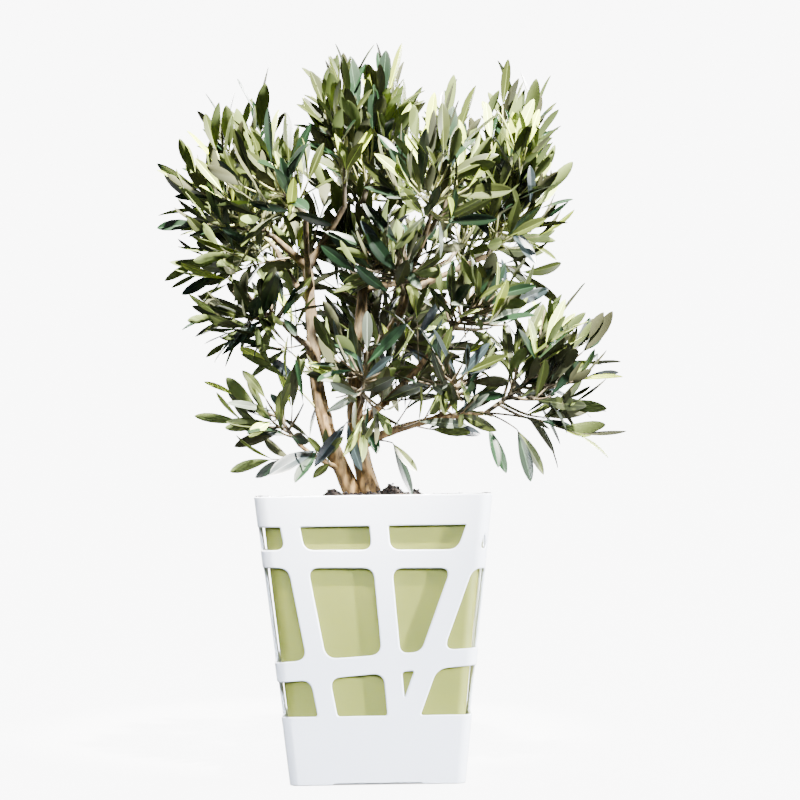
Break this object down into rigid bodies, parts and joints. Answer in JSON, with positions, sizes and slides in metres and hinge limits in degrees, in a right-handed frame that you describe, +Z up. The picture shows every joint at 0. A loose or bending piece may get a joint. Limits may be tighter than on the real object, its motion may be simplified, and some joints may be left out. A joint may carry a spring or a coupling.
{
  "type": "potted olive tree",
  "caption": "Young olive tree with two stems and a round open crown, planted in a tapering square planter whose walls are a leaning lattice over a plain liner pot.",
  "frame": {"origin": "centre of the planter's flat underside, on the surface it stands on", "axes": "+Z up along the planter's axis to the crown, +X to the viewer's right, the front face looks along -Y"},
  "size_m": [0.4828, 0.3597, 0.7676],
  "materials": {
    "planter": "white moulded plastic with a soft satin surface",
    "liner": "pale yellow green moulded plastic, smooth",
    "soil": "dark loose potting soil with small clods",
    "bark": "tan to grey young bark, finely furrowed",
    "foliage": "leathery olive leaves, dull green above and silvery below"
  },
  "bodies": {
    "root": {"planter_cover": "planter", "liner_pot": "liner", "soil": "soil", "trunk": "bark", "bough_left_outer": "bark", "bough_top_left": "bark", "bough_left_mid": "bark", "bough_left_low": "bark", "bough_right_low": "bark", "bough_right_inner": "bark", "bough_right_mid": "bark", "bough_centre_low": "bark", "bough_crown": "bark", "bough_top_centre": "bark", "bough_top_right": "bark", "bough_right_outer": "bark", "bough_front_left": "bark", "bough_front_right": "bark", "bough_heart": "bark", "bough_centre_high": "bark", "bough_back_left": "bark", "bough_back_top": "bark", "bough_back_right": "bark", "bough_back_low": "bark", "foliage_left_outer": "foliage", "foliage_top_left": "foliage", "foliage_left_mid": "foliage", "foliage_left_low": "foliage", "foliage_right_low": "foliage", "foliage_right_inner": "foliage", "foliage_right_mid": "foliage", "foliage_centre_low": "foliage", "foliage_top_centre": "foliage", "foliage_top_right": "foliage", "foliage_right_outer": "foliage", "foliage_front_left": "foliage", "foliage_front_right": "foliage", "foliage_heart": "foliage", "foliage_centre_high": "foliage", "foliage_back_left": "foliage", "foliage_back_top": "foliage", "foliage_back_right": "foliage", "foliage_back_low": "foliage"}
  },
  "joints": []
}
